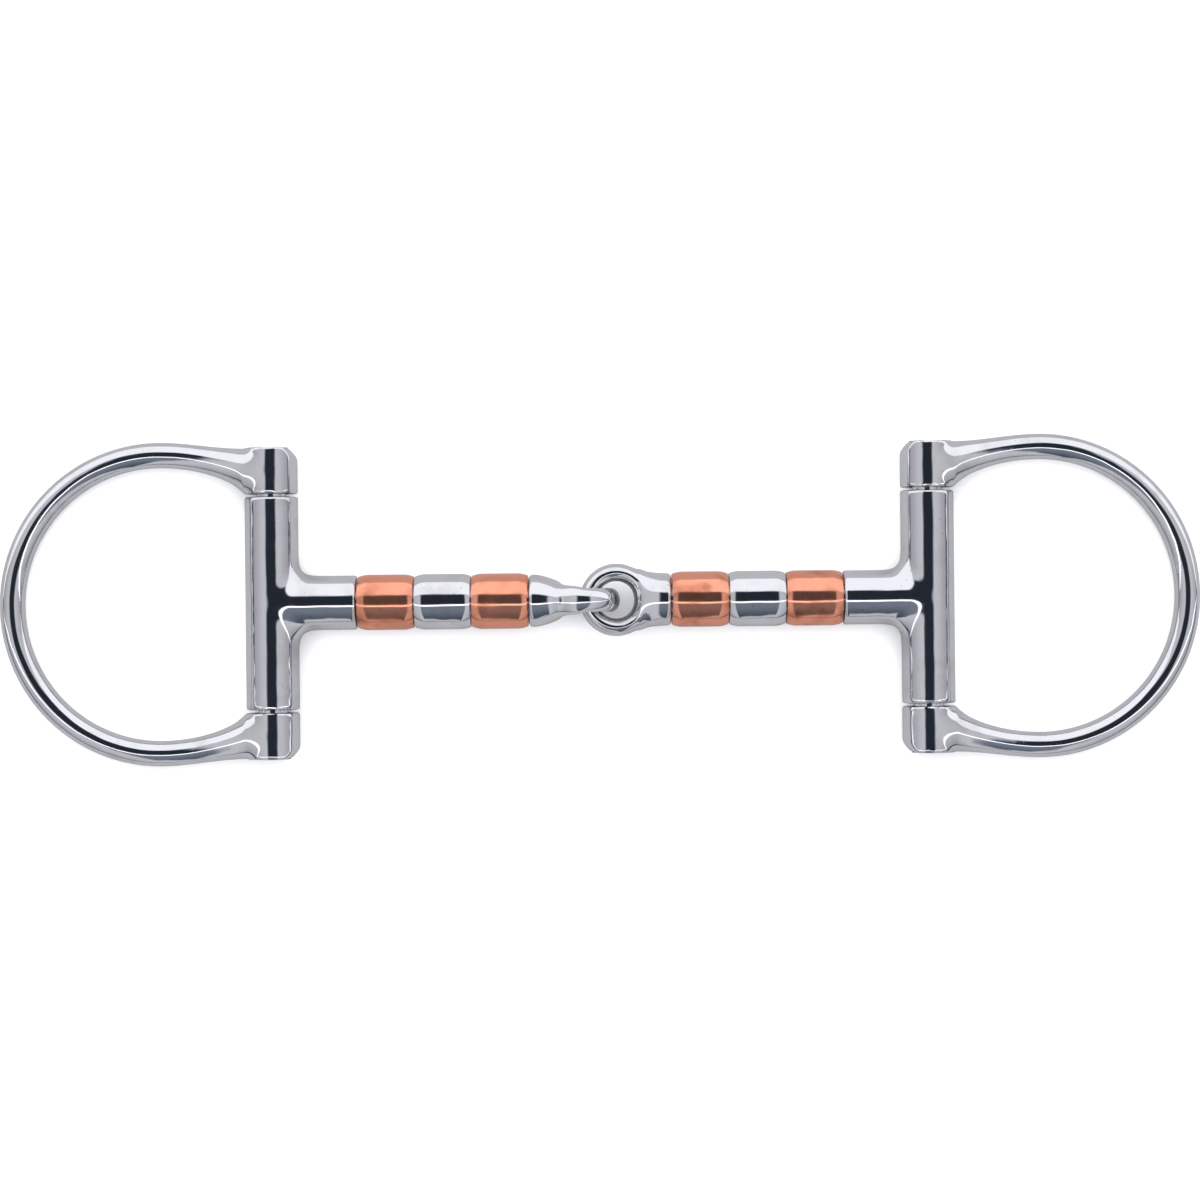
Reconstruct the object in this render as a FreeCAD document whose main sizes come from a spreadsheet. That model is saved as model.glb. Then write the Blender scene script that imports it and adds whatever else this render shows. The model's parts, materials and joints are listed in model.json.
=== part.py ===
import FreeCAD, Part
import os
from math import cos, pi, sin, sqrt

import Sketcher

# Single-jointed dee-ring snaffle bit with rollers, lying settled on a flat surface.
#
# +X runs along the mouthpiece, +Y along the cheek barrels, +Z up. The origin is midway between the
# two eyes, at the height of the left eye's centre. Each arm is drawn straight along its own +X,
# away from the centre joint, and is then turned about Y: the arms lean down from the joint to the
# barrels, and the dee rings drop until their wire touches the same surface as the barrels.

doc = FreeCAD.newDocument("SnaffleBit")

# ---------------------------------------------------------------- driving sizes, in millimetres

SIZES = [
    ("mouth_width", 133.5, "between the inner sides of the two cheek barrels"),
    ("ring_height", 71.8, "dee ring, outside, along the hinge"),
    ("ring_depth", 60.9, "hinge axis to the outside of the crown"),
    ("wire_diameter", 5.65, "round wire at the crown"),
    ("crown_rise", 1.4, "how far the dee's shoulder stands above the boss's end"),
    ("boss_height", 10.3, "each upright boss, along the hinge"),
    ("boss_bevel", 2.4, "flat cut on the mouth side of the boss's outer corner"),
    ("boss_gap", 0.65, "between a boss and the cheek barrel"),
    ("barrel_diameter", 11.8, "cheek barrel and bosses"),
    ("pin_diameter", 6.4, "hinge pin"),
    ("pin_clearance", 0.08, "radial, pin in cheek barrel"),
    ("rivet_flare", 0.8, "how far the pin's riveted ends spread, and how deep"),
    ("stem_diameter", 12.0, "stem of the cheek barrel"),
    ("stem_length", 13.0, "barrel side to the stem's end"),
    ("stem_flare", 3.3, "radius where the stem meets the barrel"),
    ("roller_diameter", 12.25, "all six rollers"),
    ("roller_round", 0.7, "rounding of the rollers' ends"),
    ("roller_clearance", 0.1, "radial, roller on spindle"),
    ("roller_play", 0.2, "each gap beside a roller, along the arm"),
    ("spindle_diameter", 6.0, "spindle that carries the rollers"),
    ("socket_depth", 9.0, "spindle inside the stem"),
    ("socket_relief", 0.5, "space past the spindle's end"),
    ("link_length", 12.05, "eye centre to the shoulder that stops the rollers"),
    ("shoulder_diameter", 11.6, "shoulder of the mouth link"),
    ("waist_thickness", 7.0, "link where it meets the eye, across the eye's flat"),
    ("eye_diameter", 16.0, "eye, outside"),
    ("eye_hole", 8.2, "eye, hole"),
    ("eye_thickness", 5.2, "eye, along its hole"),
    ("eye_gap", 1.0, "between the two eyes' rings where they cross"),
    ("edge_round", 0.6, "rims of the barrel, the stem and the shoulder"),
    ("forging_step", 0.05, "ledge where a turned round leaves a forged root"),
]

sheet = doc.addObject("Spreadsheet::Sheet", "Sizes")
for row, (alias, size, note) in enumerate(SIZES, 1):
    sheet.set(f"A{row}", alias)
    sheet.set(f"B{row}", str(size))
    sheet.set(f"C{row}", note)
    sheet.setAlias(f"B{row}", alias)
doc.recompute()

# ---------------------------------------------------------------- sizes that follow from them

DERIVED = [
    ("barrel_radius", "Sizes.barrel_diameter / 2"),
    ("hinge_offset", "Sizes.mouth_width / 2 + Derived.barrel_radius"),
    ("ring_radius", "Sizes.ring_height / 2"),
    ("ring_centre", "Sizes.ring_depth - Derived.ring_radius"),
    ("wire_radius", "Sizes.wire_diameter / 2"),
    ("boss_top", "Derived.ring_radius - Sizes.crown_rise"),
    ("boss_foot", "Derived.boss_top - Sizes.boss_height"),
    ("barrel_length", "2 * (Derived.boss_foot - Sizes.boss_gap)"),
    ("bore_diameter", "Sizes.pin_diameter + 2 * Sizes.pin_clearance"),
    ("roller_bore", "Sizes.spindle_diameter + 2 * Sizes.roller_clearance"),
    ("stem_end", "Derived.barrel_radius + Sizes.stem_length"),
    # Each eye's centre, from the middle of the mouthpiece.
    ("eye_offset", "(Sizes.eye_hole - Sizes.eye_gap) / 2"),
    ("arm_room", "Sizes.mouth_width / 2 - Sizes.stem_length"),
    ("roller_room", "Derived.arm_room - Derived.eye_offset - Sizes.link_length"),
    ("roller_length", "(Derived.roller_room - 4 * Sizes.roller_play) / 3"),
    ("spindle_length", "Derived.roller_room + Sizes.socket_depth - Sizes.socket_relief"),
    # The arms fold about the middle of the right eye's ring, where the left eye hangs on it.
    ("eye_ring_radius", "(Sizes.eye_diameter + Sizes.eye_hole) / 4"),
    ("eye_ring_width", "(Sizes.eye_diameter - Sizes.eye_hole) / 2"),
    ("fold_x", "Derived.eye_offset - Derived.eye_ring_radius"),
    # Distances along each arm, from the fold to its eye's centre and to its hinge axis.
    ("left_eye", "Derived.fold_x + Derived.eye_offset"),
    ("right_eye", "Derived.eye_ring_radius"),
    ("left_hinge", "Derived.hinge_offset + Derived.fold_x"),
    ("right_hinge", "Derived.hinge_offset - Derived.fold_x"),
    # Angles in degrees, down from the horizontal: the upright left eye and both barrels touch the
    # surface, and each ring hangs from its hinge until its crown does.
    ("joint_rise", "(Sizes.eye_diameter - Sizes.barrel_diameter) / 2"),
    ("left_lean", "asin(Derived.joint_rise / (Derived.hinge_offset - Derived.eye_offset)) / 1deg"),
    ("fold_z", "Derived.left_eye * sin(Derived.left_lean * 1deg)"),
    ("right_lean", "asin((Derived.joint_rise + Derived.fold_z) / Derived.right_hinge) / 1deg"),
    ("crown_drop", "Derived.barrel_radius - Derived.wire_radius"),
    ("ring_droop", "asin(Derived.crown_drop / (Sizes.ring_depth - Derived.wire_radius)) / 1deg"),
]

derived = doc.addObject("App::VarSet", "Derived")
for name, formula in DERIVED:
    derived.addProperty("App::PropertyFloat", name)
    derived.setExpression(name, formula)
doc.recompute()


def size(name):
    """The number that a driving or a derived size has now."""
    if name in derived.PropertiesList:
        return getattr(derived, name)
    return float(sheet.get(name))


# ---------------------------------------------------------------- building blocks

X_AXIS = FreeCAD.Vector(1, 0, 0)
Y_AXIS = FreeCAD.Vector(0, 1, 0)
Z_AXIS = FreeCAD.Vector(0, 0, 1)
ORIGIN = FreeCAD.Vector(0, 0, 0)
ALONG_X = FreeCAD.Rotation(Y_AXIS, 90)
ALONG_Y = FreeCAD.Rotation(X_AXIS, -90)


def solid(kind, name, rotation=None, **formulas):
    """A Part object whose sizes follow formulas. A formula for x, y or z sets where it stands."""
    thing = doc.addObject(kind, name)
    if rotation:
        thing.Placement = FreeCAD.Placement(ORIGIN, rotation)
    for key, formula in formulas.items():
        prop = f"Placement.Base.{key}" if key in ("x", "y", "z") else key
        thing.setExpression(prop, formula)
    return thing


def joined(name, pieces):
    fusion = doc.addObject("Part::MultiFuse", name)
    fusion.Shapes = pieces
    return fusion


def cut(name, base, tool):
    result = doc.addObject("Part::Cut", name)
    result.Base = base
    result.Tool = tool
    return result


def shaped(name, shape):
    """A piece of a form that the primitives don't offer."""
    feature = doc.addObject("Part::Feature", name)
    feature.Shape = shape
    return feature


def ellipse(x, y, half_y, half_z):
    """A closed smooth curve in the plane across X at x, centred at height y."""
    count = 16
    points = []
    for step in range(count):
        angle = 2 * pi * step / count
        points.append(FreeCAD.Vector(x, y + half_y * cos(angle), half_z * sin(angle)))
    curve = Part.BSplineCurve()
    curve.interpolate(points, True)
    return Part.Wire([curve.toShape()])


def turned(name, plane, length, diameter, bore=None, rim="Sizes.edge_round", both_ends=True):
    """A round bar or tube across an origin plane, with rounded rims at both ends or the far one."""
    body = doc.addObject("PartDesign::Body", name)
    section = body.newObject("Sketcher::SketchObject", name + "_section")
    support = [feature for feature in body.Origin.OriginFeatures if feature.Role == plane]
    section.AttachmentSupport = (support[0], [""])
    section.MapMode = "FlatFace"
    for radius, formula in enumerate(filter(None, (bore, diameter)), 1):
        circle = section.addGeometry(Part.Circle(ORIGIN, Z_AXIS, radius))
        section.addConstraint(Sketcher.Constraint("Coincident", circle, 3, -1, 1))
        width = section.addConstraint(Sketcher.Constraint("Diameter", circle, 2 * radius))
        section.setExpression(f"Constraints[{width}]", formula)
    pad = body.newObject("PartDesign::Pad", name + "_bar")
    pad.Profile = section
    pad.SideType = "Symmetric" if both_ends else "One side"
    pad.setExpression("Length", length)
    doc.recompute()
    widest = max(edge.Curve.Radius for edge in pad.Shape.Edges if hasattr(edge.Curve, "Radius"))
    rims = []
    for number, edge in enumerate(pad.Shape.Edges, 1):
        outer = hasattr(edge.Curve, "Radius") and edge.Curve.Radius > widest - 0.001
        if outer and (both_ends or edge.CenterOfMass.Length > 0.001):
            rims.append(f"Edge{number}")
    rounding = body.newObject("PartDesign::Fillet", name + "_rims")
    rounding.Base = (pad, rims)
    rounding.setExpression("Radius", rim)
    return body


# ---------------------------------------------------------------- the pieces of one arm


def pin_form(name):
    """The hinge pin, whose riveted ends spread to fill the bosses' countersinks."""
    shank = solid(
        "Part::Cylinder", name + "_shank", ALONG_Y,
        Radius="Sizes.pin_diameter / 2", Height="2 * Derived.boss_top", y="-Derived.boss_top",
    )
    heads = []
    for end, sign in (("top", 1), ("foot", -1)):
        heads.append(solid(
            "Part::Cone", f"{name}_{end}", FreeCAD.Rotation(X_AXIS, -90 * sign),
            Radius1="Sizes.pin_diameter / 2", Radius2="Sizes.pin_diameter / 2 + Sizes.rivet_flare",
            Height="Sizes.rivet_flare", y=f"{sign} * (Derived.boss_top - Sizes.rivet_flare)",
        ))
    return joined(name, [shank] + heads)


def dee_shoulder(name):
    """One shoulder of the dee, lofted from inside the boss to the round wire of the crown.

    The wire swells into the boss. The buried outlines stay a little inside the boss's flat ends.
    """
    centre = size("ring_centre")
    edge = size("barrel_radius")
    wire = size("wire_radius")
    outer = size("ring_radius")
    inner = outer - 2 * wire
    inset = 0.03 * size("boss_height")
    top = size("boss_top") - inset
    foot = size("boss_foot") + inset
    outlines = []
    for share in (1.2, 1.13, 1.06, 1, 0.9, 0.75, 0.55, 0.3, 0):
        x = centre - share * (centre - edge)
        grown = min(share, 1)
        high = outer - (outer - top) * (3 * grown**2 - 2 * grown**3)
        low = foot + (inner - foot) * (1 - grown**2) ** 0.75
        half_z = wire + (edge - wire) * (1 - x / centre) ** 2.5
        outlines.append(ellipse(x, (high + low) / 2, (high - low) / 2, half_z))
    return shaped(name, Part.makeLoft(outlines, True))


def dee_crown(name):
    """The half circle of the dee: the wire's section turned about the ring's centre."""
    centre = FreeCAD.Vector(size("ring_centre"), 0, 0)
    wire = size("wire_radius")
    section = ellipse(centre.x, size("ring_radius") - wire, wire, wire)
    return shaped(name, Part.Face(section).revolve(centre, Z_AXIS, -180))


def mirrored(name, upper):
    """The same piece on the lower side of the arm."""
    lower = doc.addObject("Part::Mirroring", name)
    lower.Source = upper
    lower.Normal = Y_AXIS
    return lower


def dee_ring(name):
    """Round wire bow with an upright boss at each end, bored for the hinge pin."""
    boss = solid(
        "Part::Cylinder", name + "_boss", ALONG_Y,
        Radius="Derived.barrel_radius", Height="Sizes.boss_height", y="Derived.boss_foot",
    )
    bevel = solid(
        "Part::Box", name + "_bevel", FreeCAD.Rotation(Z_AXIS, 45),
        Length="6 * Sizes.boss_bevel", Width="3 * Sizes.boss_bevel", Height="Sizes.barrel_diameter",
        x="-Derived.barrel_radius - 2 * Sizes.boss_bevel",
        y="Derived.boss_top - 3 * Sizes.boss_bevel",
        z="-Derived.barrel_radius",
    )
    bevelled = cut(name + "_upper_boss", boss, bevel)
    shoulder = dee_shoulder(name + "_upper_shoulder")
    bow = joined(name + "_bow", [
        dee_crown(name + "_crown"), shoulder, mirrored(name + "_lower_shoulder", shoulder),
    ])
    whole = joined(name + "_whole", [bow, bevelled, mirrored(name + "_lower_boss", bevelled)])
    return cut(name, whole, pin_form(name + "_pin_hole"))


def flare(name):
    """The stem's root: it spreads along the barrel in a quarter-round of radius stem_flare."""
    edge = size("barrel_radius")
    root = size("stem_diameter") / 2 + size("forging_step")
    spread = size("stem_flare")
    buried = 0.3 * edge
    outlines = [ellipse(-buried, 0, root + spread, 0.97 * sqrt(edge**2 - buried**2))]
    for share in (0.04, 0.15, 0.35, 0.65, 1):
        half_y = root + spread * (1 - sqrt(1 - (1 - share) ** 2))
        outlines.append(ellipse(-(edge + share * spread), 0, half_y, root))
    return shaped(name, Part.makeLoft(outlines, True))


def cheek_barrel(name):
    """Upright barrel bored for the hinge pin, with a stem that has a socket for the spindle."""
    barrel = turned(name + "_barrel", "XZ_Plane", "Derived.barrel_length", "Sizes.barrel_diameter")
    stem = turned(
        name + "_stem", "YZ_Plane", "Sizes.stem_length", "Sizes.stem_diameter", both_ends=False,
    )
    stem.Placement = FreeCAD.Placement(ORIGIN, FreeCAD.Rotation(Z_AXIS, 180))
    stem.setExpression("Placement.Base.x", "-Derived.barrel_radius")
    bore = solid(
        "Part::Cylinder", name + "_bore", ALONG_Y,
        Radius="Derived.bore_diameter / 2", Height="2 * Derived.barrel_length",
        y="-Derived.barrel_length",
    )
    socket = solid(
        "Part::Cylinder", name + "_socket", ALONG_X,
        Radius="Sizes.spindle_diameter / 2", Height="2 * Sizes.socket_depth",
        x="-Derived.stem_end - Sizes.socket_depth",
    )
    whole = joined(name + "_whole", [barrel, flare(name + "_flare"), stem])
    return cut(name, whole, joined(name + "_holes", [bore, socket]))


def eye_ring(name):
    """The eye: an oval section turned about Z."""
    section = ellipse(0, 0, size("eye_ring_width") / 2, size("eye_thickness") / 2)
    section.rotate(ORIGIN, Z_AXIS, -90)
    section.translate(FreeCAD.Vector(size("eye_ring_radius"), 0, 0))
    return shaped(name, Part.Face(section).revolve(ORIGIN, Z_AXIS, 360))


def link_neck(name):
    """From the eye's web out to the round shoulder, wide first and then thick."""
    start = size("eye_hole") / 2 + 0.25 * size("eye_ring_width")
    end = size("link_length") - 2 * size("edge_round")
    shoulder = size("shoulder_diameter") / 2 - size("forging_step")
    half_width = 0.95 * sqrt((size("eye_diameter") / 2) ** 2 - start**2)
    half_waist = size("waist_thickness") / 2
    outlines = [ellipse(start, 0, half_width, size("eye_thickness") / 4)]
    for share in (0.12, 0.3, 0.55, 0.8, 1):
        away = (1 - share) ** 2
        x = start + share * (end - start)
        half_y = shoulder + (half_width - shoulder) * away
        outlines.append(ellipse(x, 0, half_y, shoulder + (half_waist - shoulder) * away))
    return shaped(name, Part.makeLoft(outlines, True))


def mouth_link(name, eye_turn):
    """Eye, neck, shoulder and spindle in one piece. eye_turn rolls the eye about the arm."""
    head = joined(name + "_head", [eye_ring(name + "_eye"), link_neck(name + "_neck")])
    head.Placement = FreeCAD.Placement(ORIGIN, FreeCAD.Rotation(X_AXIS, eye_turn))
    shoulder = turned(
        name + "_shoulder", "YZ_Plane", "2 * Sizes.edge_round", "Sizes.shoulder_diameter",
        both_ends=False,
    )
    shoulder.setExpression("Placement.Base.x", "Sizes.link_length - 2 * Sizes.edge_round")
    spindle = solid(
        "Part::Cylinder", name + "_spindle", ALONG_X,
        Radius="Sizes.spindle_diameter / 2", Height="Derived.spindle_length", x="Sizes.link_length",
    )
    return joined(name, [head, shoulder, spindle])


def roller(name):
    """Tube that spins on the spindle."""
    return turned(
        name, "YZ_Plane", "Derived.roller_length", "Sizes.roller_diameter",
        bore="Derived.roller_bore", rim="Sizes.roller_round",
    )


# ---------------------------------------------------------------- the two arms, in place

ROLLERS = ("inner", "middle", "outer")
nodes = []


def settle(piece, side, reach, tilt):
    """Stand a piece on its arm, reach from the fold, turned down by tilt. Left arms point to -X."""
    sign, turn = ("", tilt) if side == "right" else ("-", f"180 - {tilt}")
    lean = f"Derived.{side}_lean * 1deg"
    piece.Label = piece.Name
    piece.Placement = FreeCAD.Placement(ORIGIN, FreeCAD.Rotation(Y_AXIS, 1))
    piece.setExpression("Placement.Base.x", f"Derived.fold_x {sign or '+'} ({reach}) * cos({lean})")
    piece.setExpression("Placement.Base.z", f"Derived.fold_z - ({reach}) * sin({lean})")
    piece.setExpression("Placement.Rotation.Angle", turn)
    nodes.append(piece)


for side, eye_turn in (("left", 90), ("right", 0)):
    lean = f"Derived.{side}_lean"
    eye = f"Derived.{side}_eye"
    hinge = f"Derived.{side}_hinge"
    settle(mouth_link(f"{side}_mouth_link", eye_turn), side, eye, lean)
    for place, which in enumerate(ROLLERS):
        pitch = "(Derived.roller_length + Sizes.roller_play)"
        middle = f"{eye} + Sizes.link_length + {place + 0.5} * {pitch} + Sizes.roller_play / 2"
        settle(roller(f"{side}_{which}_roller"), side, middle, lean)
    settle(cheek_barrel(f"{side}_cheek_barrel"), side, hinge, lean)
    settle(dee_ring(f"{side}_d_ring"), side, hinge, "Derived.ring_droop")
    settle(pin_form(f"{side}_hinge_pin"), side, hinge, "Derived.ring_droop")

doc.recompute()

# ---------------------------------------------------------------- checks, then one file per node

for thing in doc.Objects:
    if "Invalid" in thing.State or "Error" in thing.State:
        raise RuntimeError(f"{thing.Name} did not build: {thing.State}")
for piece in nodes:
    if piece.Shape.isNull() or not piece.Shape.isValid() or len(piece.Shape.Solids) != 1:
        raise RuntimeError(f"{piece.Label} is not one valid solid")

os.makedirs("parts", exist_ok=True)
for piece in nodes:
    piece.Shape.exportStep(f"parts/{piece.Label}.step")
    print(piece.Label, round(piece.Shape.Volume, 1), piece.Shape.BoundBox)
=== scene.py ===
import json
from math import cos, pi, radians, sin

import bpy
import numpy as np
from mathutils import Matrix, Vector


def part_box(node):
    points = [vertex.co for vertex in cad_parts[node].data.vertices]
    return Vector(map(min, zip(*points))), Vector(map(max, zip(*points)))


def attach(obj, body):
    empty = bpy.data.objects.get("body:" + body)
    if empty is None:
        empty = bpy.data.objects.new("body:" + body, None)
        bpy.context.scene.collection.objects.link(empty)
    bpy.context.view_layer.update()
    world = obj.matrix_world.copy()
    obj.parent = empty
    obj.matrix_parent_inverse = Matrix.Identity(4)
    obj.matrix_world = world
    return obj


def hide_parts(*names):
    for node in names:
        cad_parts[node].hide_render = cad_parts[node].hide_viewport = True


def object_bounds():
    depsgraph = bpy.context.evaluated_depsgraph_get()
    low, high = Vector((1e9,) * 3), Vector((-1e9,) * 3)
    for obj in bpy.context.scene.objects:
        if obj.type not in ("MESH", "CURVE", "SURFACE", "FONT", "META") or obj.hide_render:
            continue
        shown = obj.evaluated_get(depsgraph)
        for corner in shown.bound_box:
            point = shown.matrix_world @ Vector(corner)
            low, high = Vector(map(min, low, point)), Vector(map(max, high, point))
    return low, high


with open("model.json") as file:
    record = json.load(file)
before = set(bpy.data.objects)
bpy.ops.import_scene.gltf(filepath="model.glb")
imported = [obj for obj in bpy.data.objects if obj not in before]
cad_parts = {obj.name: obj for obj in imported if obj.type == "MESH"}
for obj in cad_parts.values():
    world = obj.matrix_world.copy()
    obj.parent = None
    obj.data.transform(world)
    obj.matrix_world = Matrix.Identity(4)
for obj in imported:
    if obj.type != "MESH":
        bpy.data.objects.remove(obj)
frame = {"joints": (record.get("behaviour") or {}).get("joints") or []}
cad_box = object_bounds()

# A single-jointed dee-ring snaffle bit with copper and steel rollers, lying on a pale table.
#
# Every forged piece is one smooth skin: a field that is negative inside the metal is sampled on a
# grid, the grid's zero surface is meshed, and each vertex is then drawn onto the true surface.
# Turned pieces are lathed. Each piece is shaped in the axes of its own arm or ring, in
# millimetres, until to_world turns it into metres.

MM = 1000

# Cheek barrel and its stem. The forged flare between them has a soft reach, longest in the middle
# of the stem and least at its top and bottom.
BARREL_R = 5.9
BARREL_HALF = 23.55
BARREL_RIM = 0.5
BORE_R = 3.28
STEM_R = 6.0
STEM_END = BARREL_R + 13.0
STEM_RIM = 0.6
STEM_SINK = 0.35
STEM_SINK_FROM = 1.5
FLARE_LEAST = 0.9
FLARE_REACH = 4.8
SOCKET_DEPTH = 9.0

# Dee ring: a round crown, and a bevelled boss at each end of the bow.
RING_R = 35.9
RING_DEPTH = 60.9
RING_CENTRE = RING_DEPTH - RING_R
WIRE_R = 2.825
BOSS_TOP = 34.5
BOSS_FOOT = 24.2
BOSS_RIM = 0.45
BOSS_BEVEL = 2.4
BEVEL_EDGE = 0.5
SHOULDER_STEP = 0.1
SHOULDER_END = 1.0
SHOULDER_LEAST = 0.1
SHOULDER_REACH = 4.5

# Hinge pin, with riveted ends that fill the bosses' countersinks.
PIN_R = 3.2
PIN_SLACK = 0.02
RIVET = 0.8
RIVET_DOME = 0.12
RIVET_EDGE = 0.06

# Rollers, narrower toward each end, and the spindle that carries them.
ROLLER_R = 6.125
ROLLER_BORE = 3.1
ROLLER_GAP = 0.2
CROWN_LENGTH = 2.2
CROWN_DROP = 0.45
RIM = 0.25
BORE_RIM = 0.3
SPINDLE_R = 3.0
SPINDLE_ROOT = 1
SPINDLE_TIP = 0.4
SOCKET_SPARE = 0.5

# Mouth link: eye, waist and shoulder.
LINK_LENGTH = 12.05
SHOULDER_R = 5.8
NECK_FROM = 0.7
NECK_SPREAD = 0.75
NECK_RIM = 0.9
LINK_REACH = 2.4
EYE_R = 8.0
EYE_HOLE = 4.1
EYE_HALF = 2.6
EYE_SWELL = (-2, 4)
WAIST_HALF = 3.45
WAIST_STEP = 0.15

BROKEN_EDGE = 0.12

# Meshing.
CELL = 0.42
LINK_CELL = CELL * 0.7
SLOPE_STEP = 0.01
LEAST_SLOPE = 0.05
FIRST_DRAWS = 12
EVENING_ROUNDS = 6
TURNED_SEGMENTS = 128
HIDDEN_SEGMENTS = 64
SHARP_ANGLE = 40


# ---------------------------------------------------------------- where each arm lies

JOINTS = {joint["name"]: joint for joint in frame["joints"]}


def unit(vector):
    return np.array(vector) / np.linalg.norm(vector)


def axes_for(outward):
    """Axes as columns: X outward along the arm, Y along the barrels."""
    along = np.array([0.0, 1.0, 0.0])
    return np.column_stack([outward, along, np.cross(outward, along)])


def arm_axes(side):
    return axes_for(unit(JOINTS[f"{side}_middle_spin"]["axis"]))


def ring_axes(side):
    """The ring's axes: it hangs until its wire lies on the same surface as the barrels."""
    drop = np.arcsin((BARREL_R - WIRE_R) / (RING_DEPTH - WIRE_R))
    sign = 1 if side == "right" else -1
    return axes_for(np.array([sign * cos(drop), 0, -sin(drop)]))


def hinge_of(side):
    return np.array(JOINTS[f"{side}_ring_hinge"]["pos_m"]) * MM


def middle_of(node):
    low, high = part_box(node)
    return (np.array(low) + np.array(high)) / 2 * MM


def roller_length(side):
    """From the pitch of the rollers along the arm."""
    pitch = np.linalg.norm(middle_of(f"{side}_outer_roller") - middle_of(f"{side}_middle_roller"))
    return pitch - ROLLER_GAP


def eye_centre(side):
    """The link's eye centre: the inner roller's middle, moved back along the arm."""
    inward = roller_length(side) / 2 + ROLLER_GAP + LINK_LENGTH
    return middle_of(f"{side}_inner_roller") - inward * arm_axes(side)[:, 0]


def to_world(points, origin, axes):
    return (origin + points @ axes.T) / MM


# ---------------------------------------------------------------- fields


def smooth(value, low, high):
    """0 below low and 1 above high, eased between."""
    share = np.clip((value - low) / (high - low), 0, 1)
    return share * share * (3 - 2 * share)


def rounded_end(side, end, rounding):
    """What is inside both fields, with a rounded rim where they meet."""
    side, end = side + rounding, end + rounding
    corner = np.hypot(np.maximum(side, 0), np.maximum(end, 0))
    return corner + np.minimum(np.maximum(side, end), 0) - rounding


def capped_rod(along, across, half, radius, rounding):
    """A round bar of that half length and radius, with rounded rims."""
    return rounded_end(across - radius, np.abs(along) - half, rounding)


def oval(y, z, half_y, half_z):
    """Roughly the distance to an oval bar, exact at its surface."""
    return (np.sqrt((y / half_y) ** 2 + (z / half_z) ** 2) - 1) * np.minimum(half_y, half_z)


def blended(one, other, reach):
    """Union of two fields with a soft fillet. The reach may differ from place to place."""
    near = np.maximum(reach - np.abs(one - other), 0) / reach
    return np.minimum(one, other) - near**3 * reach / 6


def carved(field, tool, edge=BROKEN_EDGE):
    """The field with the tool taken out, leaving a slightly broken edge."""
    depth = np.hypot(np.maximum(edge + field, 0), np.maximum(edge - tool, 0))
    return np.minimum(-edge, np.maximum(field, -tool)) + depth


def barrel_field(x, y, z):
    """Cheek barrel at the hinge, with its stem toward -X and a forged flare between them."""
    barrel = capped_rod(y, np.hypot(x, z), BARREL_HALF, BARREL_R, BARREL_RIM)
    sunk = STEM_SINK * smooth(x, -BARREL_R - STEM_SINK_FROM, 0)
    stem = capped_rod(
        x + STEM_END / 2, np.hypot(y, z) + sunk, STEM_END / 2, STEM_R, STEM_RIM
    )
    crest = np.clip(np.abs(z) / STEM_R, 0, 1)
    skin = blended(barrel, stem, FLARE_LEAST + FLARE_REACH * (1 - crest**3))
    bore = np.hypot(x, z) - BORE_R
    socket = np.maximum(np.hypot(y, z) - SPINDLE_R, x + STEM_END - SOCKET_DEPTH)
    return carved(carved(skin, bore), socket)


def ring_field(x, y, z):
    """Dee ring at the hinge: a round crown, shoulders that swell, and two bevelled bosses."""
    y = np.abs(y)
    crown = np.hypot(np.hypot(x - RING_CENTRE, y) - (RING_R - WIRE_R), z) - WIRE_R

    # The shoulder grows from the wire's thickness at the crown to nearly the boss's height.
    grown = np.clip((RING_CENTRE - x) / (RING_CENTRE - BARREL_R), 0, 1)
    high = RING_R + (BOSS_TOP - SHOULDER_STEP - RING_R) * smooth(grown, 0, 1)
    foot = BOSS_FOOT + SHOULDER_STEP
    inner = RING_R - 2 * WIRE_R
    low = foot + (inner - foot) * np.maximum(1 - grown**2, 0) ** 0.75
    half_z = WIRE_R + (BARREL_R - WIRE_R) * np.clip(1 - x / RING_CENTRE, 0, 1) ** 2.5
    shoulder = oval(y - (high + low) / 2, z, (high - low) / 2, half_z)
    bow = np.where(x > RING_CENTRE, crown, np.maximum(shoulder, SHOULDER_END - x))

    middle = (BOSS_TOP + BOSS_FOOT) / 2
    half = (BOSS_TOP - BOSS_FOOT) / 2
    boss = capped_rod(y - middle, np.hypot(x, z), half, BARREL_R, BOSS_RIM)
    bevel = (-x - BARREL_R + y - BOSS_TOP + BOSS_BEVEL) / np.sqrt(2)
    boss = carved(boss, -bevel, BEVEL_EDGE)

    # The fillet dies away toward the boss's flat ends and along its crest.
    end = np.clip(np.abs(y - middle) / half, 0, 1)
    crest = np.clip(np.abs(z) / BARREL_R, 0, 1)
    skin = blended(boss, bow, SHOULDER_LEAST + SHOULDER_REACH * (1 - end**4) * (1 - crest**6))
    countersink = np.maximum(0, y - BOSS_TOP + RIVET)
    return carved(skin, np.hypot(x, z) - PIN_R - countersink, RIVET_EDGE)


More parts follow.
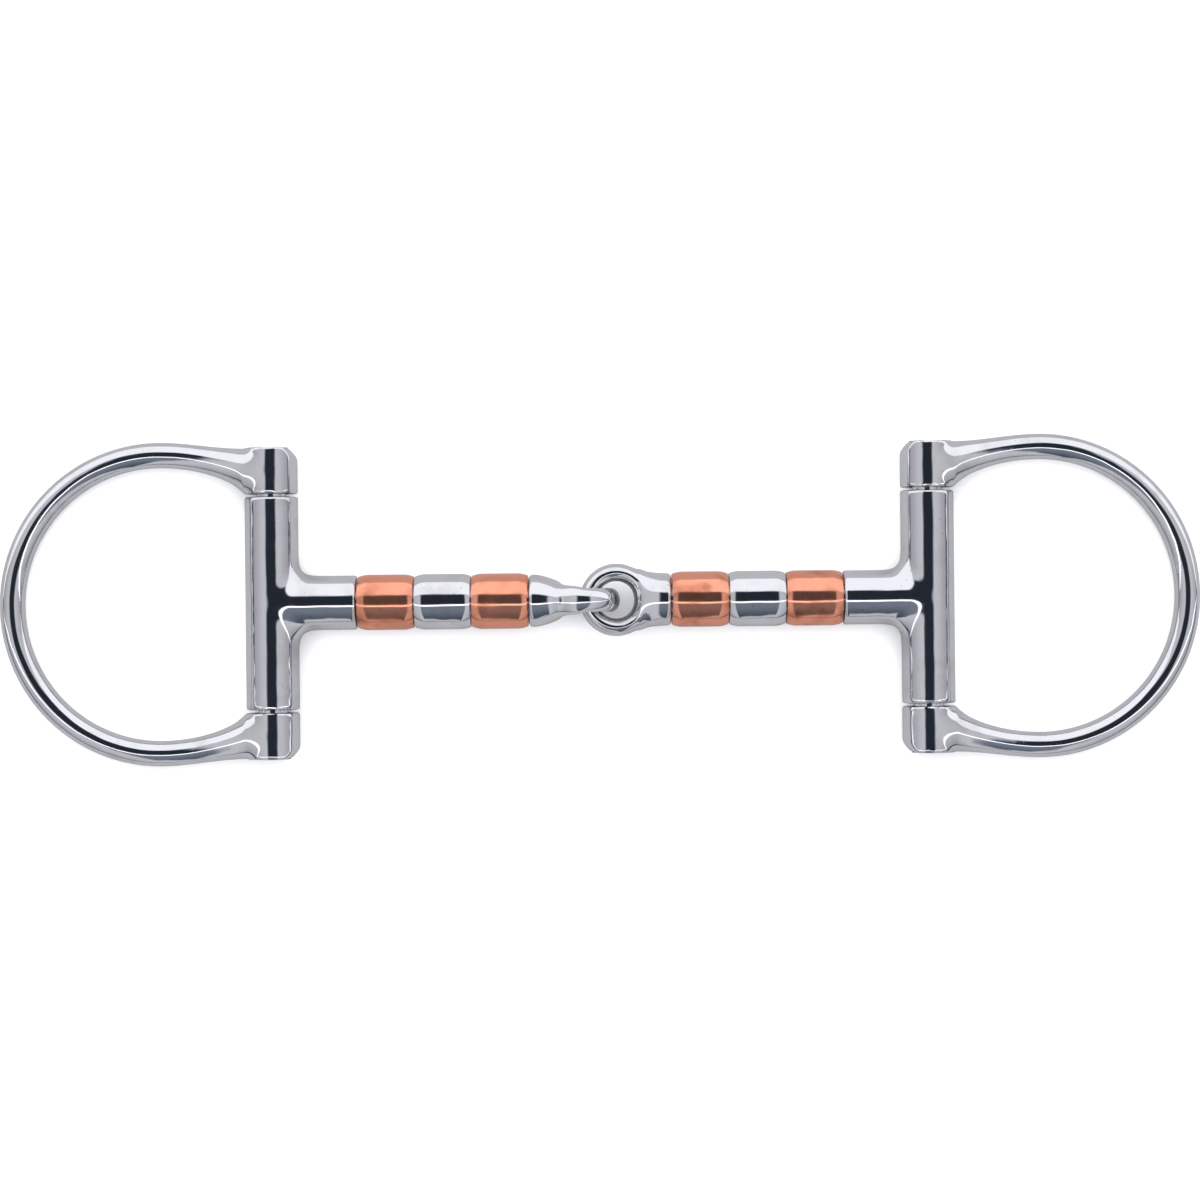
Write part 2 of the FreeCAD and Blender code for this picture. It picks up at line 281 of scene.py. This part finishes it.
def link_field(x, y, z):
    """Eye, waist and shoulder of a mouth link, with the eye's hole along Z."""
    half_z = EYE_HALF + (WAIST_HALF - EYE_HALF - WAIST_STEP) * smooth(x, *EYE_SWELL)
    ring_r = (EYE_R + EYE_HOLE) / 2
    eye = oval(np.hypot(x, y) - ring_r, z, (EYE_R - EYE_HOLE) / 2, half_z)

    start = EYE_HOLE + NECK_FROM
    share = np.clip((x - start) / (LINK_LENGTH - start - NECK_FROM), 0, 1)
    away = (1 - share) ** 2
    half_y = SHOULDER_R + NECK_SPREAD * away
    neck = oval(y, z, half_y, SHOULDER_R + (WAIST_HALF - SHOULDER_R) * away)
    neck = rounded_end(neck, np.maximum(x - LINK_LENGTH, start - x), NECK_RIM)
    return blended(eye, neck, LINK_REACH)


# ---------------------------------------------------------------- from a field to a skin


def gradient(field, points):
    """Direction in which the field grows fastest, one row a point."""
    grown = []
    for axis in np.eye(3) * SLOPE_STEP:
        ahead = field(*(points + axis).T)
        behind = field(*(points - axis).T)
        grown.append((ahead - behind) / (2 * SLOPE_STEP))
    return np.column_stack(grown)


def pull(field, points):
    """The move that takes each point to the field's zero surface, nearly."""
    slope = gradient(field, points)
    steep = np.maximum((slope**2).sum(1), LEAST_SLOPE)
    return -(field(*points.T) / steep)[:, None] * slope


def skin_of(field, low, high, cell):
    """Vertices and quads of the field's zero surface between two corners of a box."""
    counts = [int(np.ceil((b - a) / cell)) + 2 for a, b in zip(low, high)]
    lines = [a - cell + cell * np.arange(n + 1) for a, n in zip(low, counts)]
    inside = field(*np.meshgrid(*lines, indexing="ij")) < 0

    # One vertex in each cell whose corners aren't all on the same side.
    cells = tuple(np.array(inside.shape) - 1)
    corner_count = np.zeros(cells, int)
    for shift in np.ndindex(2, 2, 2):
        corner_count += inside[tuple(slice(s, s + n) for s, n in zip(shift, cells))]
    active = (corner_count > 0) & (corner_count < 8)
    index = np.full(cells, -1)
    index[active] = np.arange(active.sum())
    where = np.argwhere(active)
    points = np.column_stack([line[w] + cell / 2 for line, w in zip(lines, where.T)])
    for _ in range(FIRST_DRAWS):
        move = pull(field, points)
        length = np.linalg.norm(move, axis=1, keepdims=True)
        points = points + move * np.minimum(1, cell / np.maximum(length, 1e-9))

    # One quad round each grid edge that crosses the surface.
    quads = []
    for axis in range(3):
        ahead = [slice(None)] * 3
        behind = [slice(None)] * 3
        ahead[axis], behind[axis] = slice(1, None), slice(None, -1)
        edges = np.argwhere(inside[tuple(ahead)] != inside[tuple(behind)])
        side_a, side_b = [a for a in range(3) if a != axis]
        edges = edges[(edges[:, side_a] > 0) & (edges[:, side_b] > 0)]
        ring = []
        for step_a, step_b in ((0, 0), (1, 0), (1, 1), (0, 1)):
            corner = edges.copy()
            corner[:, side_a] -= step_a
            corner[:, side_b] -= step_b
            ring.append(index[tuple(corner.T)])
        faces = np.column_stack(ring)
        leaving = inside[tuple(edges.T)]
        flip = leaving if axis == 1 else ~leaving
        faces[flip] = faces[flip][:, ::-1]
        quads.append(faces)
    return points, np.vstack(quads)


def relaxed(field, points, quads):
    """Evens out the quads by sliding their corners over the true surface."""
    ends = np.vstack([quads[:, [0, 1]], quads[:, [1, 2]], quads[:, [2, 3]], quads[:, [3, 0]]])
    weight = np.bincount(ends.ravel(), minlength=len(points))[:, None]
    for _ in range(EVENING_ROUNDS):
        total = np.zeros_like(points)
        np.add.at(total, ends[:, 0], points[ends[:, 1]])
        np.add.at(total, ends[:, 1], points[ends[:, 0]])
        points = 0.5 * points + 0.5 * total / weight
        for _ in range(2):
            points = points + pull(field, points)
    return points


def forged(field, low, high, cell):
    points, quads = skin_of(field, low, high, cell)
    return relaxed(field, points, quads), [tuple(q) for q in quads]


# ---------------------------------------------------------------- lathed skins


def lathed(profile, segments=TURNED_SEGMENTS, solid=False):
    """Turns an outline of (along, radius) points about X: a closed one, or a solid bar's side."""
    points = []
    for along, radius in profile:
        for step in range(segments):
            angle = 2 * pi * step / segments
            points.append((along, radius * cos(angle), radius * sin(angle)))
    faces = []
    rows = len(profile)
    for row in range(rows - solid):
        below = (row + 1) % rows
        for step in range(segments):
            ahead = (step + 1) % segments
            faces.append((
                row * segments + step, row * segments + ahead,
                below * segments + ahead, below * segments + step,
            ))
    if solid:
        last = (rows - 1) * segments
        faces.append(tuple(reversed(range(segments))))
        faces.append(tuple(range(last, last + segments)))
    return np.array(points), faces


def arc(along, radius, rounding, start, end, count=7):
    """Points of a round whose centre is (along, radius), between two angles in degrees."""
    points = []
    for step in range(count):
        angle = radians(start + (end - start) * step / (count - 1))
        points.append((along + rounding * cos(angle), radius + rounding * sin(angle)))
    return points


def roller_profile(length):
    """Half crowned: the roller narrows toward each end, then turns into a small rim."""
    half = length / 2
    lean = np.arctan(2 * CROWN_DROP / CROWN_LENGTH)
    edge = ROLLER_R - CROWN_DROP
    outer = arc(half - RIM, edge - RIM * cos(lean), RIM, 0, 90 - np.degrees(lean))
    foot = half - RIM * (1 - sin(lean))
    for share in (0.85, 0.7, 0.55, 0.4, 0.25, 0.1, 0):
        outer.append((foot - (1 - share) * CROWN_LENGTH, ROLLER_R - CROWN_DROP * share**2))
    return (
        outer
        + [(-along, radius) for along, radius in reversed(outer)]
        + arc(-half + BORE_RIM, ROLLER_BORE + BORE_RIM, BORE_RIM, 180, 270)
        + arc(half - BORE_RIM, ROLLER_BORE + BORE_RIM, BORE_RIM, 270, 360)
    )


def spindle_profile(roller):
    """From inside the link's shoulder, through three rollers, to nearly the socket's floor."""
    end = LINK_LENGTH + (3 * roller + 4 * ROLLER_GAP + SOCKET_DEPTH - SOCKET_SPARE)
    return [
        (LINK_LENGTH - SPINDLE_ROOT, SPINDLE_R),
        (end - SPINDLE_TIP, SPINDLE_R),
        (end, SPINDLE_R - SPINDLE_TIP),
    ]


def pin_profile():
    """The pin's riveted ends spread into the bosses' countersinks and stand slightly domed."""
    wide = PIN_R + RIVET - 2 * PIN_SLACK
    half = [(BOSS_TOP - RIVET, PIN_R - PIN_SLACK), (BOSS_TOP - PIN_SLACK, wide)]
    for share in (0.92, 0.8, 0.6, 0.4, 0.2, 0.05):
        half.append((BOSS_TOP + RIVET_DOME * (1 - share**2), wide * share))
    return [(-along, radius) for along, radius in reversed(half)] + half


def quarter_turned(skin):
    """The same skin rolled a quarter turn about X, so that an eye's hole runs along Y."""
    points, faces = skin
    return points @ np.array([[1, 0, 0], [0, 0, 1], [0, -1, 0]]), faces


def along_y(skin):
    """A lathed skin stood up so that its axis runs along Y."""
    points, faces = skin
    return points @ np.array([[0, 1, 0], [-1, 0, 0], [0, 0, 1]]), faces


# ---------------------------------------------------------------- shader nodes


def new_material(name):
    material = bpy.data.materials.new(name)
    material.use_nodes = True
    return material, material.node_tree, material.node_tree.nodes["Principled BSDF"]


def feed(tree, value, slot):
    """Sets a slot to a number or colour, or links another node's output to it."""
    if isinstance(value, bpy.types.NodeSocket):
        tree.links.new(value, slot)
    else:
        slot.default_value = value


def maths(tree, operation, *values):
    node = tree.nodes.new("ShaderNodeMath")
    node.operation = operation
    for slot, value in zip(node.inputs, values):
        feed(tree, value, slot)
    return node.outputs[0]


def mixed(tree, factor, one, other):
    """One colour where the factor is 0, the other where it is 1."""
    node = tree.nodes.new("ShaderNodeMix")
    node.data_type = "RGBA"
    for slot, value in (("Factor", factor), ("A", one), ("B", other)):
        feed(tree, value, node.inputs[slot])
    return node.outputs["Result"]


def ranged(tree, value, from_low, from_high, to_low, to_high, eased=False):
    """Carries a value from one range to another, and holds it at both ends."""
    node = tree.nodes.new("ShaderNodeMapRange")
    if eased:
        node.interpolation_type = "SMOOTHSTEP"
    slots = ("Value", "From Min", "From Max", "To Min", "To Max")
    for slot, each in zip(slots, (value, from_low, from_high, to_low, to_high)):
        feed(tree, each, node.inputs[slot])
    return node.outputs["Result"]


# ---------------------------------------------------------------- metals

# Scale and detail of each noise. The scale counts features along a metre, roughly.
SMUDGES = (220, 4)
PATCHES = (70, 3)
PITS = (1500, 0)
WAVES = (130, 1)
SCRATCHES_ACROSS = (900, 2, (0.04, 1, 1))
SCRATCHES_ALONG = (700, 2, (1, 0.05, 1))

# Strength, and height in metres.
WAVE_BUMP = (0.35, 0.0004)
SCRATCH_BUMP = (0.1, 0.00002)
SCRATCH_ROUGHNESS = 0.05
SMUDGE_ROUGHNESS = 2.2


def metal(name, colour, dark, roughness, stain, purity=1.0):
    """Polished metal: hand-polishing waves, fine scratches, smudges and a darker tarnish."""
    material, tree, shader = new_material(name)
    shader.inputs["Metallic"].default_value = purity
    place = tree.nodes.new("ShaderNodeTexCoord").outputs["Object"]

    def noise(scale, detail, stretch=None):
        source = place
        if stretch:
            mapping = tree.nodes.new("ShaderNodeMapping")
            mapping.inputs["Scale"].default_value = stretch
            tree.links.new(place, mapping.inputs["Vector"])
            source = mapping.outputs["Vector"]
        node = tree.nodes.new("ShaderNodeTexNoise")
        for slot, value in (("Scale", scale), ("Detail", detail), ("Vector", source)):
            feed(tree, value, node.inputs[slot])
        return node.outputs["Fac"]

    def bump(height, strength, distance):
        node = tree.nodes.new("ShaderNodeBump")
        slots = (("Strength", strength), ("Distance", distance), ("Height", height))
        for slot, value in slots:
            feed(tree, value, node.inputs[slot])
        return node

    smudge = noise(*SMUDGES)
    tarnish = maths(
        tree, "MULTIPLY",
        ranged(tree, smudge, 0.45, 0.66, 0.0, 1.0),
        ranged(tree, noise(*PATCHES), 0.42, 0.62, 0.0, stain),
    )
    pits = ranged(tree, noise(*PITS), 0.8, 0.84, 0.0, 0.6)
    tarnish = maths(tree, "MAXIMUM", tarnish, pits)
    paint = mixed(tree, tarnish, (*colour, 1), (*dark, 1))
    tree.links.new(paint, shader.inputs["Base Color"])

    scratches = maths(
        tree, "MAXIMUM",
        ranged(tree, noise(*SCRATCHES_ACROSS), 0.66, 0.74, 0.0, 1.0),
        ranged(tree, noise(*SCRATCHES_ALONG), 0.68, 0.76, 0.0, 1.0),
    )
    rough = maths(
        tree, "ADD",
        ranged(tree, smudge, 0.35, 0.75, roughness, roughness * SMUDGE_ROUGHNESS),
        maths(tree, "MULTIPLY", scratches, SCRATCH_ROUGHNESS),
    )
    tree.links.new(rough, shader.inputs["Roughness"])

    waves = bump(noise(*WAVES), *WAVE_BUMP)
    marks = bump(scratches, *SCRATCH_BUMP)
    marks.invert = True
    tree.links.new(waves.outputs["Normal"], marks.inputs["Normal"])
    tree.links.new(marks.outputs["Normal"], shader.inputs["Normal"])
    return material


STEEL = metal("polished_steel", (0.72, 0.72, 0.73), (0.42, 0.40, 0.38), 0.05, 0.3)
COPPER = metal("polished_copper", (0.88, 0.36, 0.23), (0.42, 0.14, 0.07), 0.09, 0.7, 0.95)


# ---------------------------------------------------------------- the pieces


def in_scene(name, data):
    thing = bpy.data.objects.new(name, data)
    bpy.context.scene.collection.objects.link(thing)
    return thing


def piece(name, skins, origin, axes, node, body, material):
    """One object from one or more skins, standing for a CAD node and riding on its body."""
    points, faces = [], []
    for skin_points, skin_faces in skins:
        start = sum(len(p) for p in points)
        points.append(to_world(skin_points, origin, axes))
        faces += [tuple(start + int(corner) for corner in face) for face in skin_faces]
    mesh = bpy.data.meshes.new(name)
    mesh.from_pydata(np.vstack(points).tolist(), [], faces)
    mesh.polygons.foreach_set("use_smooth", [True] * len(mesh.polygons))
    mesh.materials.append(material)
    mesh.update()
    mesh.set_sharp_from_angle(angle=radians(SHARP_ANGLE))
    thing = in_scene(name, mesh)
    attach(thing, body)
    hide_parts(node)


barrel_skin = forged(
    barrel_field, (-STEM_END, -BARREL_HALF, -STEM_R), (BARREL_R, BARREL_HALF, STEM_R), CELL
)
ring_skin = forged(
    ring_field, (-BARREL_R, -RING_R, -BARREL_R), (RING_DEPTH, RING_R, BARREL_R), CELL
)
link_skin = forged(
    link_field, (-EYE_R, -EYE_R, -SHOULDER_R), (LINK_LENGTH, EYE_R, SHOULDER_R), LINK_CELL
)
pin_skin = along_y(lathed(pin_profile(), HIDDEN_SEGMENTS, solid=True))

for side in ("left", "right"):
    hinge = hinge_of(side)
    arm = arm_axes(side)
    ring = ring_axes(side)
    length = roller_length(side)
    eye = link_skin if side == "right" else quarter_turned(link_skin)
    spindle = lathed(spindle_profile(length), HIDDEN_SEGMENTS, solid=True)
    for name, skins, origin, axes, node, body in (
        ("dee", [ring_skin], hinge, ring, "d_ring", "ring"),
        ("pin", [pin_skin], hinge, ring, "hinge_pin", "ring"),
        ("cheek", [barrel_skin], hinge, arm, "cheek_barrel", "arm"),
        ("link", [eye, spindle], eye_centre(side), arm, "mouth_link", "arm"),
    ):
        piece(f"{side}_{name}", skins, origin, axes, f"{side}_{node}", f"{side}_{body}",
              STEEL)
    for which, metal_of, slot in (
        ("inner", COPPER, "copper"),
        ("middle", STEEL, "polished_steel"),
        ("outer", COPPER, "copper"),
    ):
        node = f"{side}_{which}_roller"
        tube = lathed(roller_profile(length))
        piece(f"{side}_{which}_tube", [tube], middle_of(node), arm, node, node, metal_of)


# ---------------------------------------------------------------- table, light and camera

TABLE_REACH = 3.0
TABLE_DROP = 0.0001
TABLE_SEEN = (0.95, 0.95, 0.95, 1)
TABLE_MIRRORED = (0.34, 0.34, 0.35, 1)

# What the metal mirrors. Angles are degrees from straight up, and each light starts at the first
# one and is full at the second, where the third number is its brightness.
SOFTBOX = (26, 33, 1.25)
STRIP = (11.5, 13, 1.9)
BACK_WALL = (17, 20, 0.27)
SIDE_WALLS = (16, 26, 0.7)

# Where a light has died away: it fades from the first angle to the second, wholly or by the
# share that the third number gives.
STRIP_END = (18, 19.5)
WALL_FOOT = (76, 88)
BACK_FADE = (30, 85, 0.6)
WALL_FADE = (28, 80, 0.3)

CEILING = 0.035
DIM_TINT = (0.6, 0.8, 1.15, 1)
BRIGHT_TINT = (0.97, 0.98, 1.04, 1)
TINT_GAIN = 1.8
BACKDROP = (0.9, 0.9, 0.9, 1)

LAMP_SIZE = 2.0
LAMP_WATTS = 32.0
LAMP_PLACE = (0.0, 0.2, 1.2)
LAMP_LEAN = -10

CAMERA_HEIGHT = 0.85
CAMERA_ROLL = -0.6
SENSOR_WIDTH = 36


def table():
    """A plain pale surface that the bit lies on. The metal mirrors it as a mid grey."""
    low, high = cad_box
    level = low[2] - TABLE_DROP
    mesh = bpy.data.meshes.new("table")
    corners = [
        (x * TABLE_REACH, y * TABLE_REACH, level) for x, y in ((-1, -1), (1, -1), (1, 1), (-1, 1))
    ]
    mesh.from_pydata(corners, [], [(0, 1, 2, 3)])
    thing = in_scene("table", mesh)
    material, tree, shader = new_material("table")
    shader.inputs["Roughness"].default_value = 0.9
    shader.inputs["Specular IOR Level"].default_value = 0.1
    seen = tree.nodes.new("ShaderNodeLightPath").outputs["Is Camera Ray"]
    paint = mixed(tree, seen, TABLE_MIRRORED, TABLE_SEEN)
    tree.links.new(paint, shader.inputs["Base Color"])
    mesh.materials.append(material)


def studio():
    """A soft studio as the world's light: bright walls, and a dim ceiling over the table."""
    world = bpy.data.worlds.new("studio")
    bpy.context.scene.world = world
    world.use_nodes = True
    tree = world.node_tree
    background = tree.nodes["Background"]
    direction = tree.nodes.new("ShaderNodeTexCoord")
    split = tree.nodes.new("ShaderNodeSeparateXYZ")
    tree.links.new(direction.outputs["Generated"], split.inputs["Vector"])

    def rising(angle, low, high, level=1.0):
        """0 below low and level above high, eased between."""
        return ranged(tree, angle, radians(low), radians(high), 0.0, level, eased=True)

    def fading(angle, low, high, share=1.0):
        """1 below low, and less by that share above high."""
        return maths(tree, "SUBTRACT", 1.0, rising(angle, low, high, share))

    def product(*values):
        total = values[0]
        for value in values[1:]:
            total = maths(tree, "MULTIPLY", total, value)
        return total

    # Angles from straight up: toward +Y and -Y in the YZ plane, and sideways in the XZ plane.
    forward = maths(tree, "ARCTAN2", split.outputs["Y"], split.outputs["Z"])
    backward = product(forward, -1.0)
    aside = maths(tree, "ABSOLUTE", split.outputs["X"])
    sideways = maths(tree, "ARCTAN2", aside, split.outputs["Z"])

    light = CEILING
    for source in (
        rising(forward, *SOFTBOX),
        product(rising(backward, *STRIP), fading(backward, *STRIP_END)),
        product(rising(backward, *BACK_WALL), fading(backward, *BACK_FADE)),
        product(
            rising(sideways, *SIDE_WALLS),
            fading(sideways, *WALL_FOOT),
            fading(sideways, *WALL_FADE),
        ),
    ):
        light = maths(tree, "MAXIMUM", source, light)

    share = maths(tree, "MINIMUM", product(light, TINT_GAIN), 1.0)
    tint = mixed(tree, share, DIM_TINT, BRIGHT_TINT)
    seen = tree.nodes.new("ShaderNodeLightPath").outputs["Is Camera Ray"]
    tree.links.new(mixed(tree, seen, tint, BACKDROP), background.inputs["Color"])
    tree.links.new(maths(tree, "MAXIMUM", light, seen), background.inputs["Strength"])


def key_light():
    """One soft lamp for the table's light and gentle shadows. The metal doesn't mirror it."""
    lamp = bpy.data.lights.new("key", "AREA")
    lamp.shape = "RECTANGLE"
    lamp.size = LAMP_SIZE
    lamp.size_y = LAMP_SIZE
    lamp.energy = LAMP_WATTS
    thing = in_scene("key", lamp)
    thing.location = LAMP_PLACE
    thing.rotation_euler = (radians(LAMP_LEAN), 0, 0)
    thing.visible_glossy = False


def camera():
    """Looking straight down on the middle of the bit, which fills the frame's width."""
    low, high = cad_box
    wire_top = low[2] + WIRE_R / MM
    lens = bpy.data.cameras.new("camera")
    lens.sensor_width = SENSOR_WIDTH
    lens.lens = SENSOR_WIDTH * (CAMERA_HEIGHT - wire_top) / (high[0] - low[0])
    thing = in_scene("camera", lens)
    thing.location = ((low[0] + high[0]) / 2, (low[1] + high[1]) / 2, CAMERA_HEIGHT)
    thing.rotation_euler = (0, 0, radians(CAMERA_ROLL))
    bpy.context.scene.camera = thing


table()
studio()
key_light()
camera()
bpy.context.scene.view_settings.view_transform = "Standard"
